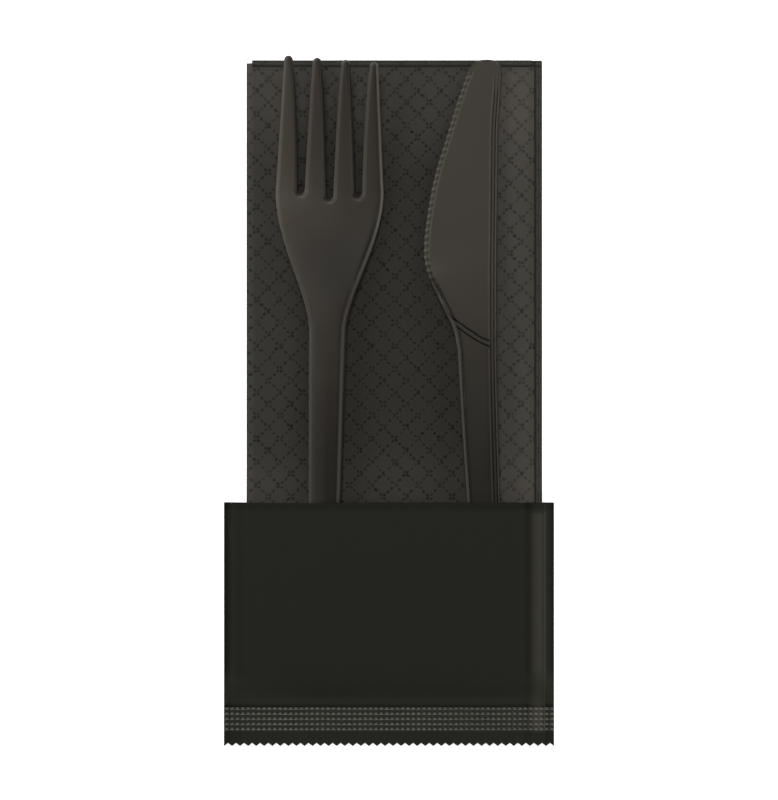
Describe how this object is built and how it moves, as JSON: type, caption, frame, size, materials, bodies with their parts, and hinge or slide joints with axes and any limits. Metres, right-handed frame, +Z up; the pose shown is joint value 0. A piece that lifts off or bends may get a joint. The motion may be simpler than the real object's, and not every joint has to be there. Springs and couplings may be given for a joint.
{
  "type": "cutlery kit",
  "caption": "Disposable cutlery kit: a fork, a knife and a folded paper napkin held in a half-height sealed film pouch with an open mouth.",
  "frame": {"origin": "centre of the bounding box at its bottom, on the surface that the kit lies on", "axes": "+Z up out of the kit's front, +Y along the kit's length towards the tine tips, +X to the right from the fork towards the knife"},
  "size_m": [0.0924, 0.1925, 0.0115],
  "materials": {
    "pouch_film": "thin black film with a soft sheen",
    "napkin_tissue": "matt dark grey-brown tissue paper with an embossed lattice of dots",
    "fork_plastic": "satin black moulded plastic",
    "knife_plastic": "satin black moulded plastic"
  },
  "bodies": {
    "root": {"pouch": "pouch_film", "napkin": "napkin_tissue", "fork": "fork_plastic", "knife": "knife_plastic"}
  },
  "joints": []
}
